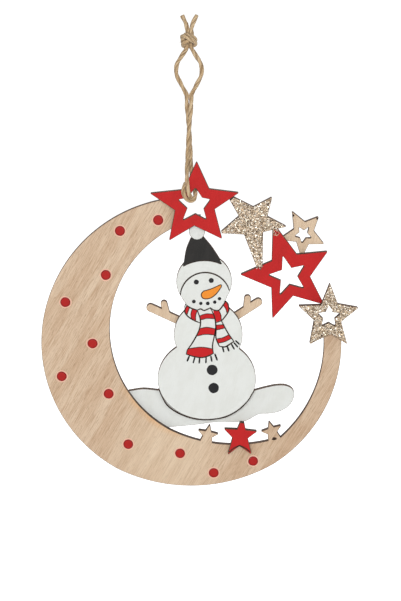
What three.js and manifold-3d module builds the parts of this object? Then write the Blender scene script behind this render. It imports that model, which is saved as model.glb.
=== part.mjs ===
// A hanging christmas ornament of thin laser-cut plywood, glued up in three sheets and hung on jute twine.
// A crescent moon carries a snowman on a snow drift and a chain of five-pointed stars.
// Millimetres, +Z up, the painted front faces -Y. The origin is where a hook bears, inside the twine's eye.
// The pieces are drawn from the middle of the crescent's outer circle, and one group moves them into place.

import * as THREE from "three";
import { mergeVertices } from "three/addons/utils/BufferGeometryUtils.js";
import Module from "manifold-3d";

// Plywood: one thickness for all three sheets, which lie face to face.
const PLY = 2.0;
const EDGE_GAP = 0.3; // between two pieces of one sheet that are glued edge to edge
const LAP = 3.5; // how far a piece reaches behind the next, for the glue
const HIDDEN_EDGE = 0.6; // how far a covered end stops short of an edge that shows
const TIP_BLUNT = 0.45; // how far down its sides the corner of a star's arm is rounded off

// Crescent: an outer circle with a flatter foot, a round hollow set off to the right, a flatter floor and a slim
// right horn.
const CRESCENT_R = 47.72;
const CRESCENT_SINK = 0.2; // its middle below that of the equal circle that the stars are set out from
const FOOT_R = 51.8;
const FOOT_LEFT_ANGLE = -120; // where the outer circle gives way to the foot, and where it takes over again
const FOOT_RIGHT_ANGLE = -56;
const HOLLOW_R = 37.48;
const HOLLOW_X = 11.55;
const HOLLOW_Z = 4.4;
const HOLLOW_FOOT_ANGLE = 240; // where the round hollow gives way to the floor
const HORN_WIDTH = 5.62; // from the stars' circle to the horn's inner edge
const HORN_FOOT_ANGLE = -46.9; // where the floor gives way to the horn
const FLOOR_R = 45.5;

// Stars: the radius of the tips and of the notches between them, and the way the first arm leans from upright.
// Each stands at an angle on the stars' circle and so far in from it.
// They are drawn by hand, so UNEVEN has a row for each arm: how many degrees its tip is turned and how much longer
// it is, then the same of the notch after it, counterclockwise from the top arm. A fifth number is where an arm that
// ends square is cut off, from the star's centre.
const TOP_STAR_TIP_R = 14.1;
const TOP_STAR_NOTCH_R = 6.4;
const TOP_STAR_UNEVEN = [
  [-1.2, -0.3, 0.6, -0.3],
  [3.4, 0.65, -3.7, 0.2],
  [-0.1, -0.1, -3.1, 0.1],
  [2.2, -0.5, 6.1, -0.3],
  [-1.5, 0.1, -3.6, 0.3],
];
const TOP_STAR_HOLE_TIP_R = 5.6;
const TOP_STAR_HOLE_NOTCH_R = 2.9;
const TOP_STAR_HOLE_UNEVEN = [
  [0.7, 0, 7.4, 0.3],
  [0.1, 0.1, 4.2, -0.2],
  [-3.3, 0.6, -0.1, -0.2],
  [0.9, 0.1, -7.2, -0.15],
  [3.8, -0.6, -4.5, 0.2],
];
const TOP_STAR_LEAN = -0.3;
const TOP_STAR_RIM_ANGLE = 88.3;
const TOP_STAR_RIM_INSET = 2.47;

const GLITTER_STAR_TIP_R = 10.4;
const GLITTER_STAR_NOTCH_R = 4.7;
const GLITTER_STAR_UNEVEN = [
  [4.1, 2.0, -5.4, 0],
  [-2.1, 0.9, -1.4, 0.4],
  [4.8, 9.5, 2.3, 0, 14.9],
  [4.7, 0.3, -3.3, 0],
  [-5.8, -0.7, -4.7, -0.2],
];
const GLITTER_STAR_LEAN = 40;
const GLITTER_STAR_RIM_ANGLE = 64.4;
const GLITTER_STAR_RIM_INSET = 3.12;

const RED_STAR_TIP_R = 15.0;
const RED_STAR_NOTCH_R = 6.9;
const RED_STAR_UNEVEN = [
  [0.2, 2.7, -3.6, 0.1],
  [0.9, 0.3, 3.2, -0.2],
  [0.6, 0, -2.9, 0],
  [-2.2, 0, -2.5, 0],
  [-2.7, -0.4, -1.6, 0.3],
];
const RED_STAR_HOLE_TIP_R = 6.5;
const RED_STAR_HOLE_NOTCH_R = 2.75;
const RED_STAR_HOLE_UNEVEN = [
  [-0.2, 0, -2.1, -0.2],
  [1.1, -0.1, 2.1, 0.1],
  [-2.3, 0.5, -7.8, 0.3],
  [-2.8, 0.1, -9.9, 0.2],
  [-2.3, -0.5, -2.5, -0.3],
];
const RED_STAR_LEAN = 16.4;
const RED_STAR_RIM_ANGLE = 36.5;
const RED_STAR_RIM_INSET = 9.72;

const NATURAL_STAR_TIP_R = 7.8;
const NATURAL_STAR_NOTCH_R = 3.6;
const NATURAL_STAR_UNEVEN = [
  [-3.1, 0.3, -2.6, -0.2],
  [1.7, 0.4, 1.4, -0.2],
  [2.6, 0.2, -1.5, 0.2],
  [-2.0, -0.3, 4.0, -0.1],
  [1.0, -0.4, -0.9, 0.3],
];
const NATURAL_STAR_HOLE_TIP_R = 2.9;
const NATURAL_STAR_HOLE_NOTCH_R = 1.4;
const NATURAL_STAR_HOLE_UNEVEN = [
  [2.2, -0.2, 2.7, -0.1],
  [2.5, 0, 6.6, 0.2],
  [-0.6, 0.2, 1.7, 0.2],
  [-1.9, 0.1, -2.9, -0.1],
  [4.2, 0, -1.3, -0.3],
];
const NATURAL_STAR_LEAN = 29.8;
const NATURAL_STAR_RIM_ANGLE = 45.2;
const NATURAL_STAR_RIM_INSET = -2.23;

const HORN_STAR_TIP_R = 10.6;
const HORN_STAR_NOTCH_R = 4.85;
const HORN_STAR_UNEVEN = [
  [0.2, 0.4, -2.2, -0.2],
  [-1.8, -0.1, -3.3, 0],
  [2.9, 0.2, 8.6, 0.7],
  [-1.4, 0.2, -2.5, -0.6],
  [0.7, -0.7, 3.3, 0.2],
];
const HORN_STAR_HOLE_TIP_R = 3.8;
const HORN_STAR_HOLE_NOTCH_R = 1.87;
const HORN_STAR_LEAN = -0.9;
const HORN_STAR_RIM_ANGLE = 12.4;
const HORN_STAR_RIM_INSET = 3.27;

// Small stars that stand on the floor of the hollow, by angle about the middle of its arc.
const SMALL_RED_STAR_TIP_R = 6.3;
const SMALL_RED_STAR_NOTCH_R = 2.75;
const SMALL_RED_STAR_UNEVEN = [
  [-4.1, 0.7, -10.8, 0, 4.7],
  [-6.7, -0.2, -7.7, -0.1],
  [3.7, 1.1, -4.4, 0.4],
  [-3.6, 0.7, 5.0, -0.3],
  [1.9, -0.5, 1.7, 0.1],
];
const SMALL_RED_STAR_LEAN = -1.5;
const SMALL_RED_STAR_FLOOR_ANGLE = -87.5;
const SMALL_RED_STAR_RISE = 3.22; // centre above the floor
const TINY_STAR_TIP_R = 3.75;
const TINY_STAR_NOTCH_R = 1.65;
const TINY_STAR_UNEVEN = [ // the notch between its feet is down in the floor
  [0, 0, 0, 0],
  [0, 0, 0, 0],
  [0, 0, 0, 1.6],
  [0, 0, 0, 0],
  [0, 0, 0, 0],
];
const LEFT_TINY_STAR_FLOOR_ANGLE = -101.6;
const LEFT_TINY_STAR_RISE = 2.22;
const LEFT_TINY_STAR_LEAN = -11.8;
const RIGHT_TINY_STAR_FLOOR_ANGLE = -73.7;
const RIGHT_TINY_STAR_RISE = 2.60;
const RIGHT_TINY_STAR_LEAN = 17.1;

// Snowman, cut in one piece from hat to belly.
const BELLY_X = 4.9;
const BELLY_Z = -11.4;
const BELLY_HALF_WIDTH = 15.7;
const BELLY_HALF_HEIGHT = 13.4;
const CHEST_R = 10.9;
const CHEST_OFFSET_X = 0.46;
const CHEST_RISE = 14.65; // chest centre above belly centre
const HEAD_R = 7.7;
const HEAD_RISE = 15.05; // head centre above chest centre
const BRIM_R = 8.75;
const BRIM_RISE = 2.2; // brim centre above head centre
const HAT_BASE_HALF_WIDTH = 6.62;
const HAT_TOP_HALF_WIDTH = 2.02;
const POMPOM_R = 2.5;
const POMPOM_BELOW_STAR = 8.7; // pompom centre below the top star's centre
const POMPOM_TONGUE_WIDTH = 2.4;
const SCARF_RIGHT_R = 1.6;
const SCARF_LEFT_R = 1.4;

// Twig arms, by angle and reach from a point in the chest.
const ARM_DROP = 0.35; // the arms' middle below that of the chest
const ARM_WIDTH = 2.6;
const TWIG_WIDTH = 2.2;
const LEFT_ARM_ANGLE = 154.7;
const LEFT_ARM_REACH = 20.3;
const LEFT_TWIG_ANGLE = 144.8;
const LEFT_TWIG_REACH = 17.2;
const RIGHT_ARM_ANGLE = 33.5;
const RIGHT_ARM_REACH = 19.0;
const RIGHT_TWIG_ANGLE = 43.2;
const RIGHT_TWIG_REACH = 17.1;
const TWIG_FORK_REACH = 14.5;

// Snow drift: a low bank on the left, a round mound on the right.
const DRIFT_LEFT_ANGLE = 212.6; // where its top meets the hollow's edge, about the hollow's centre
const DRIFT_FOOT_ANGLE = 240; // where its lower edge meets it
const BANK_TOP = [ // points from the belly's centre, left to right
  [-20.4, -3.75],
  [-15.7, -4.2],
];
const MOUND_EDGE = [ // and clockwise round the mound, back under the belly
  [15.3, -4.25],
  [19.3, -3.15],
  [22.7, -2.5],
  [25.6, -2.65],
  [27.6, -3.8],
  [28.15, -5.4],
  [27.4, -8.2],
  [25.4, -10.35],
  [22.5, -11.65],
  [19.7, -12.1],
  [17.1, -12.2],
  [15.1, -13.2],
  [13.0, -14.4],
  [10.6, -14.85],
  [3.0, -14.95],
  [-3.4, -15.8],
];

// Jute twine: two strands from the knot to the top star.
const TWINE_D = 1.2;
const TWINE_SIDES = 8;
const TURN_SIDES = 6;
const TURN_STEPS = 72;
const STRAND_SPACING = 1.63; // between the middles of two strands side by side
const TWINE_LEFT_OF_STAR = 1.98;
const SPIN_ABOVE_TIP = 0.95; // the strands' lower ends above the top star's tip
const LEG_LENGTH = 18.1; // the stretch where the strands twist round each other
const EYE_HEIGHT = 15.2; // the open loop for a hook, up to the knot
const EYE_HALF_WIDTH = 4.0;
const HOOK_BELOW_KNOT = 1.2;
const SPIN_GAP = 0.3; // between twine ends that turn against each other
const SWING_GAP = 0.8; // the same where they tilt
const WRAP_GAP = 0.3; // twine to the star that it goes round
const KNOT_HALF_WIDTH = 2.8;
const KNOT_HALF_DEPTH = 2.4;
const KNOT_HEIGHT = 4.8;
const TAG_LENGTH = 5.0;

const ROUND_ERROR = 0.008; // how far a straight step may cut inside a round edge
const CURVE_STEP = 1.0; // straight steps along a free curve

const FRONT_SHEET = -1.5 * PLY; // y of each sheet's front face
const MIDDLE_SHEET = -0.5 * PLY;
const BACK_SHEET = 0.5 * PLY;

const wasm = await Module();
wasm.setup();

const FINISHES = {
  wood: { color: 0xd9bd98, roughness: 0.75, metalness: 0 },
  redPaint: { color: 0xcb2b2c, roughness: 0.6, metalness: 0 },
  whitePaint: { color: 0xe4e6e2, roughness: 0.65, metalness: 0 },
  glitter: { color: 0xb79c7c, roughness: 0.35, metalness: 0.6 },
  jute: { color: 0xc4a57e, roughness: 0.9, metalness: 0 },
};

const radians = (degrees) => (degrees * Math.PI) / 180;
const degrees = (angle) => (angle * 180) / Math.PI;
const polar = (r, angle, [x, z] = [0, 0]) => [
  x + r * Math.cos(radians(angle)),
  z + r * Math.sin(radians(angle)),
];
const distance = (a, b) => Math.hypot(a[0] - b[0], a[1] - b[1]);
const angleAbout = ([x, z], p) => degrees(Math.atan2(p[1] - z, p[0] - x));

function solidFrom(geometry) {
  const bare = geometry.clone();
  bare.deleteAttribute("normal");
  bare.deleteAttribute("uv");
  const merged = mergeVertices(bare, 1e-4);
  return new wasm.Manifold(
    new wasm.Mesh({
      numProp: 3,
      vertProperties: new Float32Array(merged.attributes.position.array),
      triVerts: new Uint32Array(merged.index.array),
    }),
  );
}

function geometryFrom(solid) {
  const { vertProperties, triVerts } = solid.getMesh();
  const geometry = new THREE.BufferGeometry();
  geometry.setAttribute("position", new THREE.BufferAttribute(new Float32Array(vertProperties), 3));
  geometry.setIndex(new THREE.BufferAttribute(new Uint32Array(triVerts), 1));
  return geometry;
}

// A piece of sheet with its front face at y = front. Outline and holes are lists of [x, z].
function plate(outline, front, holes = [], thickness = PLY) {
  const vectors = (points) => points.map(([x, z]) => new THREE.Vector2(x, z));
  const shape = new THREE.Shape(vectors(outline));
  shape.holes = holes.map((hole) => new THREE.Path(vectors(hole)));
  const geometry = new THREE.ExtrudeGeometry(shape, { depth: thickness, bevelEnabled: false });
  geometry.rotateX(Math.PI / 2);
  geometry.translate(0, front + thickness, 0);
  return solidFrom(geometry);
}

function arc(centre, r, from, to) {
  const steps = Math.max(3, Math.ceil(Math.abs(radians(to - from)) * Math.sqrt(r / (8 * ROUND_ERROR))));
  return Array.from({ length: steps + 1 }, (_, i) => polar(r, from + ((to - from) * i) / steps, centre));
}

const circle = (centre, r) => arc(centre, r, 0, 360).slice(1);

function ellipse([x, z], halfWidth, halfHeight) {
  return circle([0, 0], halfWidth).map((p) => [x + p[0], z + (p[1] * halfHeight) / halfWidth]);
}

// A stick with round ends.
function stick(from, to, width) {
  const way = angleAbout(from, to);
  return [...arc(to, width / 2, way - 90, way + 90), ...arc(from, width / 2, way + 90, way + 270)];
}

function smooth(points) {
  const curve = new THREE.CatmullRomCurve3(points.map(([x, z]) => new THREE.Vector3(x, 0, z)));
  return curve.getSpacedPoints(Math.ceil(curve.getLength() / CURVE_STEP)).map((p) => [p.x, p.z]);
}

const EVEN = Array(5).fill([0, 0, 0, 0]);

// A star's outline. An arm's sides would meet at its tip, and a square one ends at its cut radius instead.
function starOutline(centre, tipR, notchR, lean, uneven = EVEN) {
  const arms = uneven.map(([tipTurn, tipMore, notchTurn, notchMore, cutR], i) => {
    const angle = 90 + lean + (360 / uneven.length) * i;
    return {
      tip: polar(tipR + tipMore, angle + tipTurn, centre),
      inward: angle + tipTurn + 180,
      notch: polar(notchR + notchMore, angle + 180 / uneven.length + notchTurn, centre),
      cut: cutR ? tipR + tipMore - cutR : 0,
    };
  });
  return arms.flatMap(({ tip, inward, notch, cut }, i) => {
    const before = arms[(i + arms.length - 1) % arms.length].notch;
    const shoulder = (side) => {
      const depth = distance(tip, side) * Math.cos(radians(angleAbout(tip, side) - inward));
      const share = cut ? cut / depth : TIP_BLUNT / distance(tip, side);
      return tip.map((v, k) => v + (side[k] - v) * share);
    };
    const point = cut ? [] : [polar(TIP_BLUNT * 0.7, inward, tip)];
    return [shoulder(before), ...point, shoulder(notch), notch];
  });
}

// Centre to side of a star.
function sideDistance(tipR, notchR) {
  const half = radians(180 / EVEN.length);
  const side = Math.hypot(tipR - notchR * Math.cos(half), notchR * Math.sin(half));
  return (tipR * notchR * Math.sin(half)) / side;
}

const scaled = (outline, centre, factor) => outline.map((p) => p.map((v, k) => centre[k] + (v - centre[k]) * factor));

// Centre of the circle that goes through two points and bulges below them.
function centreAbove(left, right, r) {
  const half = distance(left, right) / 2;
  const way = angleAbout(left, right);
  return polar(Math.sqrt(r * r - half * half), way + 90, polar(half, way, left));
}

const hollow = [HOLLOW_X, HOLLOW_Z];
const moon = [0, -CRESCENT_SINK];
const hornInnerR = CRESCENT_R - HORN_WIDTH;
const hollowFoot = polar(HOLLOW_R, HOLLOW_FOOT_ANGLE, hollow);
const hornFoot = polar(hornInnerR, HORN_FOOT_ANGLE);
const floor = centreAbove(hollowFoot, hornFoot, FLOOR_R);

const topStar = polar(CRESCENT_R - TOP_STAR_RIM_INSET, TOP_STAR_RIM_ANGLE);
const glitterStar = polar(CRESCENT_R - GLITTER_STAR_RIM_INSET, GLITTER_STAR_RIM_ANGLE);
const redStar = polar(CRESCENT_R - RED_STAR_RIM_INSET, RED_STAR_RIM_ANGLE);
const naturalStar = polar(CRESCENT_R - NATURAL_STAR_RIM_INSET, NATURAL_STAR_RIM_ANGLE);
const hornStar = polar(CRESCENT_R - HORN_STAR_RIM_INSET, HORN_STAR_RIM_ANGLE);

const belly = [BELLY_X, BELLY_Z];
const chest = [BELLY_X + CHEST_OFFSET_X, BELLY_Z + CHEST_RISE];
const head = [chest[0] - 1.23, chest[1] + HEAD_RISE];
const brim = [head[0] - 0.1, head[1] + BRIM_RISE];
const pompom = [topStar[0] + 0.45, topStar[1] - POMPOM_BELOW_STAR];

// The crescent's ends stop behind the two stars that cover them.
function crescentMoon() {
  const topEndX = topStar[0] - TOP_STAR_NOTCH_R + HIDDEN_EDGE;
  const hornEndZ = hornStar[1] - HORN_STAR_NOTCH_R + HIDDEN_EDGE;
  const topInner = [topEndX, HOLLOW_Z + Math.sqrt(HOLLOW_R ** 2 - (topEndX - HOLLOW_X) ** 2)];
  const footLeft = polar(CRESCENT_R, FOOT_LEFT_ANGLE, moon);
  const footRight = polar(CRESCENT_R, FOOT_RIGHT_ANGLE, moon);
  const foot = centreAbove(footLeft, footRight, FOOT_R);
  const outline = [
    ...arc(moon, CRESCENT_R, degrees(Math.asin((hornEndZ - moon[1]) / CRESCENT_R)), FOOT_RIGHT_ANGLE),
    ...arc(foot, FOOT_R, angleAbout(foot, footRight), angleAbout(foot, footLeft)).slice(1, -1),
    ...arc(moon, CRESCENT_R, FOOT_LEFT_ANGLE, degrees(Math.acos(topEndX / CRESCENT_R)) - 360),
    ...arc(hollow, HOLLOW_R, angleAbout(hollow, topInner), HOLLOW_FOOT_ANGLE),
    ...arc(floor, FLOOR_R, angleAbout(floor, hollowFoot), angleAbout(floor, hornFoot)).slice(1, -1),
    ...arc([0, 0], hornInnerR, HORN_FOOT_ANGLE, degrees(Math.asin(hornEndZ / hornInnerR))),
  ];
  return plate(outline, MIDDLE_SHEET)
    .add(tinyStar(LEFT_TINY_STAR_FLOOR_ANGLE, LEFT_TINY_STAR_RISE, LEFT_TINY_STAR_LEAN))
    .add(tinyStar(RIGHT_TINY_STAR_FLOOR_ANGLE, RIGHT_TINY_STAR_RISE, RIGHT_TINY_STAR_LEAN));
}

// A tiny star cut in one with the crescent, standing on the floor of its hollow.
function tinyStar(floorAngle, rise, lean) {
  const centre = polar(FLOOR_R - rise, floorAngle, floor);
  return plate(starOutline(centre, TINY_STAR_TIP_R, TINY_STAR_NOTCH_R, lean, TINY_STAR_UNEVEN), MIDDLE_SHEET);
}

const topStarOutline = starOutline(topStar, TOP_STAR_TIP_R, TOP_STAR_NOTCH_R, TOP_STAR_LEAN, TOP_STAR_UNEVEN);

function topRedStar() {
  const hole = starOutline(
    topStar,
    TOP_STAR_HOLE_TIP_R,
    TOP_STAR_HOLE_NOTCH_R,
    TOP_STAR_LEAN,
    TOP_STAR_HOLE_UNEVEN,
  );
  return plate(topStarOutline, FRONT_SHEET, [hole]);
}

// The large glitter star is trimmed to the top star's edge, and its long arm ends on the large red star.
function largeGlitterStar() {
  const outline = starOutline(
    glitterStar,
    GLITTER_STAR_TIP_R,
    GLITTER_STAR_NOTCH_R,
    GLITTER_STAR_LEAN,
    GLITTER_STAR_UNEVEN,
  );
  const room = scaled(topStarOutline, topStar, 1 + EDGE_GAP / sideDistance(TOP_STAR_TIP_R, TOP_STAR_NOTCH_R));
  return plate(outline, FRONT_SHEET).subtract(plate(room, FRONT_SHEET - PLY / 2, [], 2 * PLY));
}

function largeRedStar() {
  const outline = starOutline(redStar, RED_STAR_TIP_R, RED_STAR_NOTCH_R, RED_STAR_LEAN, RED_STAR_UNEVEN);
  const hole = starOutline(
    redStar,
    RED_STAR_HOLE_TIP_R,
    RED_STAR_HOLE_NOTCH_R,
    RED_STAR_LEAN,
    RED_STAR_HOLE_UNEVEN,
  );
  return plate(outline, MIDDLE_SHEET, [hole]);
}

function naturalStarPiece() {
  const outline = starOutline(
    naturalStar,
    NATURAL_STAR_TIP_R,
    NATURAL_STAR_NOTCH_R,
    NATURAL_STAR_LEAN,
    NATURAL_STAR_UNEVEN,
  );
  const hole = starOutline(
    naturalStar,
    NATURAL_STAR_HOLE_TIP_R,
    NATURAL_STAR_HOLE_NOTCH_R,
    NATURAL_STAR_LEAN,
    NATURAL_STAR_HOLE_UNEVEN,
  );
  return plate(outline, BACK_SHEET, [hole]);
}

function smallGlitterStar() {
  const outline = starOutline(hornStar, HORN_STAR_TIP_R, HORN_STAR_NOTCH_R, HORN_STAR_LEAN, HORN_STAR_UNEVEN);
  const hole = starOutline(hornStar, HORN_STAR_HOLE_TIP_R, HORN_STAR_HOLE_NOTCH_R, HORN_STAR_LEAN);
  return plate(outline, FRONT_SHEET, [hole]);
}

function smallRedStar() {
  const outline = starOutline(
    polar(FLOOR_R - SMALL_RED_STAR_RISE, SMALL_RED_STAR_FLOOR_ANGLE, floor),
    SMALL_RED_STAR_TIP_R,
    SMALL_RED_STAR_NOTCH_R,
    SMALL_RED_STAR_LEAN,
    SMALL_RED_STAR_UNEVEN,
  );
  return plate(outline, FRONT_SHEET);
}

// Pompom, hat, brim, head, scarf, chest and belly. The pompom's tongue is glued behind the top star.
function snowmanFigure() {
  const hat = [
    ...smooth([
      [brim[0] - HAT_BASE_HALF_WIDTH, brim[1] + 4.5],
      [pompom[0] - HAT_TOP_HALF_WIDTH - 1.4, pompom[1] - 5.7],
      [pompom[0] - HAT_TOP_HALF_WIDTH, pompom[1] - 2.2],
    ]),
    ...smooth([
      [pompom[0] + HAT_TOP_HALF_WIDTH, pompom[1] - 1.7],
      [pompom[0] + HAT_TOP_HALF_WIDTH + 2.8, pompom[1] - 5.1],
      [brim[0] + HAT_BASE_HALF_WIDTH, brim[1] + 4.5],
    ]),
  ];
  const tongueTop = topStar[1] - TOP_STAR_HOLE_NOTCH_R - HIDDEN_EDGE;
  const half = POMPOM_TONGUE_WIDTH / 2;
  const tongue = [
    [pompom[0] - half, pompom[1]],
    [pompom[0] + half, pompom[1]],
    [pompom[0] + half, tongueTop],
    [pompom[0] - half, tongueTop],
  ];
  const scarfRight = [chest[0] + 5.0, chest[1] + 9.15];
  const scarfLeft = [chest[0] - 6.2, chest[1] + 8.8];
  return [
    ellipse(belly, BELLY_HALF_WIDTH, BELLY_HALF_HEIGHT),
    circle(chest, CHEST_R),
    circle(head, HEAD_R),
    circle(brim, BRIM_R),
    circle(scarfRight, SCARF_RIGHT_R),
    circle(scarfLeft, SCARF_LEFT_R),
    hat,
    circle(pompom, POMPOM_R),
    tongue,
  ]
    .map((outline) => plate(outline, MIDDLE_SHEET))
    .reduce((whole, piece) => whole.add(piece));
}

// A twig arm glued behind the chest: the arm itself and one short twig that forks off it.
function twigArm(armAngle, armReach, twigAngle, twigReach) {
  const root = [chest[0], chest[1] - ARM_DROP];
  const shoulder = polar(CHEST_R - LAP, armAngle, root);
  const hand = polar(armReach, armAngle, root);
  const fork = polar(TWIG_FORK_REACH, armAngle, root);
  const twigEnd = polar(twigReach, twigAngle, root);
  return plate(stick(shoulder, hand, ARM_WIDTH), BACK_SHEET).add(
    plate(stick(fork, twigEnd, TWIG_WIDTH), BACK_SHEET),
  );
}

// The drift laps behind the crescent on the left and passes behind the belly.
function snowDrift() {
  const lapR = HOLLOW_R + LAP;
  const leftTop = polar(HOLLOW_R, DRIFT_LEFT_ANGLE, hollow);
  const foot = polar(HOLLOW_R, DRIFT_FOOT_ANGLE, hollow);
  const fromBelly = ([x, z]) => [belly[0] + x, belly[1] + z];
  const behindBelly = belly[1] - LAP / 2;
  const bellySide = BELLY_HALF_WIDTH - LAP;
  const outline = [
    ...smooth([leftTop, ...BANK_TOP.map(fromBelly)]),
    [belly[0] - bellySide, behindBelly],
    [belly[0] + bellySide, behindBelly],
    ...smooth([...MOUND_EDGE.map(fromBelly), foot]),
    ...arc(hollow, lapR, DRIFT_FOOT_ANGLE, DRIFT_LEFT_ANGLE),
  ];
  return plate(outline, BACK_SHEET);
}

const twineX = topStar[0] - TWINE_LEFT_OF_STAR;
const spinZ = topStar[1] + TOP_STAR_TIP_R + SPIN_ABOVE_TIP;
const swingZ = spinZ + LEG_LENGTH;
const knotZ = swingZ + EYE_HEIGHT;
const hookZ = knotZ - HOOK_BELOW_KNOT;
const strandX = (side) => twineX + (side * STRAND_SPACING) / 2;

// Three points on a short upright stretch, so that a strand ends square. Rise is +1 or -1, away from the end.
function uprightEnd(x, z, rise) {
  return [0, 0.6, 1.2].map((share) => new THREE.Vector3(x, 0, z + rise * share * TWINE_D));
}

function twine(points, steps, sides) {
  const section = new THREE.Shape(
    Array.from({ length: sides }, (_, i) => new THREE.Vector2(...polar(TWINE_D / 2, (360 * i) / sides))),
  );
  const extrudePath = new THREE.CatmullRomCurve3(points);
  return solidFrom(new THREE.ExtrudeGeometry(section, { steps, extrudePath, bevelEnabled: false }));
}

// One side of the eye: up from the swing, out round the hook and in again under the knot.
function eyeSide(side) {
  const low = swingZ + SWING_GAP / 2;
  const high = knotZ - SPIN_GAP;
  const at = (width, share) => new THREE.Vector3(twineX + side * width, 0, low + (high - low) * share);
  const points = [
    ...uprightEnd(strandX(side), low, 1),
    at(EYE_HALF_WIDTH * 0.6, 0.27),
    at(EYE_HALF_WIDTH * 0.96, 0.47),
    at(EYE_HALF_WIDTH * 0.92, 0.66),
    at(EYE_HALF_WIDTH * 0.55, 0.83),
    ...uprightEnd(strandX(side), high, -1).reverse(),
  ];
  return twine(points, 16, TWINE_SIDES);
}

// The two strands make half a turn round each other between the swing and the spin.
function leg(side) {
  const low = spinZ + SPIN_GAP / 2;
  const high = swingZ - SWING_GAP / 2;
  const from = low + 1.5 * TWINE_D;
  const to = high - 1.5 * TWINE_D;
  const twist = [1, 2, 3, 4, 5, 6, 7].map((i) => {
    const turn = (Math.PI * i) / 8;
    return new THREE.Vector3(
      twineX - (side * STRAND_SPACING * Math.cos(turn)) / 2,
      (-side * STRAND_SPACING * Math.sin(turn)) / 2,
      from + ((to - from) * i) / 8,
    );
  });
  const points = [
    ...uprightEnd(strandX(-side), low, 1),
    ...twist,
    ...uprightEnd(strandX(side), high, -1).reverse(),
  ];
  return twine(points, 16, TWINE_SIDES);
}

// The round turn: the left strand comes down in front of the top star, goes through its hole and up behind it,
// over the notch and through the hole again, and goes up behind the arm to the right strand.
function roundTurn() {
  const bridge = 126 + TOP_STAR_LEAN;
  const reach = TWINE_D / 2 + WRAP_GAP;
  const front = FRONT_SHEET - reach;
  const behind = MIDDLE_SHEET + reach;
  const middle = (FRONT_SHEET + MIDDLE_SHEET) / 2;
  const outer = TOP_STAR_NOTCH_R + 1.4;
  const inner = TOP_STAR_HOLE_NOTCH_R - reach + 0.2;
  const at = (along, across, y) => {
    const [x, z] = polar(across, bridge - 90, polar(along, bridge, topStar));
    return new THREE.Vector3(x, y, z);
  };
  const points = [
    ...uprightEnd(strandX(-1), spinZ - SPIN_GAP / 2, -1),
    at(10.6, 4.2, front * 0.55),
    at(9.2, 3.1, front * 0.92),
    at(7.7, 2.1, front),
    at(6.2, 1.2, front),
    at(4.8, 0.5, front),
    at(3.4, 0.15, front),
    at(inner + 0.25, 0, front + 0.65),
    at(inner, -0.05, middle),
    at(inner + 0.4, -0.2, behind - 0.5),
    at(4.0, -0.6, behind + 0.05),
    at(6.2, -0.85, behind),
    at(outer - 0.25, -1.0, behind - 0.75),
    at(outer, -1.0, middle),
    at(outer - 0.2, -1.2, front + 0.75),
    at(6.8, -1.5, front - 0.05),
    at(5.3, -1.75, front - 0.05),
    at(3.8, -1.85, front - 0.1),
    at(2.3, -1.7, front - 0.3),
    at(1.0, -0.9, front - 0.5),
    at(0.4, 0.4, front - 0.2),
    at(0.35, 1.35, front + 0.7),
    at(0.6, 1.65, middle),
    at(1.1, 1.8, behind - 0.4),
    at(2.4, 2.3, behind + 0.05),
    at(4.6, 3.3, behind + 0.05),
    at(8.0, 4.95, behind + 0.05),
    ...uprightEnd(strandX(1), spinZ - SPIN_GAP / 2, -1).reverse(),
  ];
  printLeastGap(new THREE.CatmullRomCurve3(points));
  return twine(points, TURN_STEPS, TURN_SIDES);
}

function printLeastGap(path) {
  const count = 400;
  const points = path.getSpacedPoints(count);
  const apart = Math.ceil((count * 3 * TWINE_D) / path.getLength());
  let least = Infinity;
  points.forEach((a, i) => {
    points.slice(i + apart).forEach((b) => {
      least = Math.min(least, a.distanceTo(b) - TWINE_D);
    });
  });
  console.log(`round turn: ${path.getLength().toFixed(1)} mm long, least gap to itself ${least.toFixed(2)} mm`);
}

// The overhand knot, flat underneath where the eye's two sides meet it, with the twine's two cut ends on top.
function knot() {
  const ball = new THREE.SphereGeometry(1, 16, 12);
  ball.scale(KNOT_HALF_WIDTH, KNOT_HALF_DEPTH, KNOT_HEIGHT * 0.55);
  ball.translate(twineX, 0, knotZ + KNOT_HEIGHT * 0.45);
  const below = new THREE.BoxGeometry(4 * KNOT_HALF_WIDTH, 4 * KNOT_HALF_DEPTH, KNOT_HEIGHT);
  below.translate(twineX, 0, knotZ - KNOT_HEIGHT / 2);
  const tags = [-1, 1].map((side) => {
    const top = knotZ + KNOT_HEIGHT;
    const points = [
      new THREE.Vector3(twineX + side * 0.7, 0, top - 1.5),
      new THREE.Vector3(twineX + side * 1.1, 0, top + TAG_LENGTH * 0.4),
      new THREE.Vector3(twineX + side * 2.2, side * 0.4, top + TAG_LENGTH),
    ];
    return twine(points, 4, TWINE_SIDES);
  });
  return tags.reduce((whole, tag) => whole.add(tag), solidFrom(ball).subtract(solidFrom(below)));
}

const ornament = new THREE.Group();
const pieces = new THREE.Group();
pieces.position.set(-twineX, 0, -hookZ);
ornament.add(pieces);

function addPiece(name, solid, finish) {
  const mesh = new THREE.Mesh(geometryFrom(solid), new THREE.MeshStandardMaterial(FINISHES[finish]));
  mesh.name = name;
  pieces.add(mesh);
}

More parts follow.
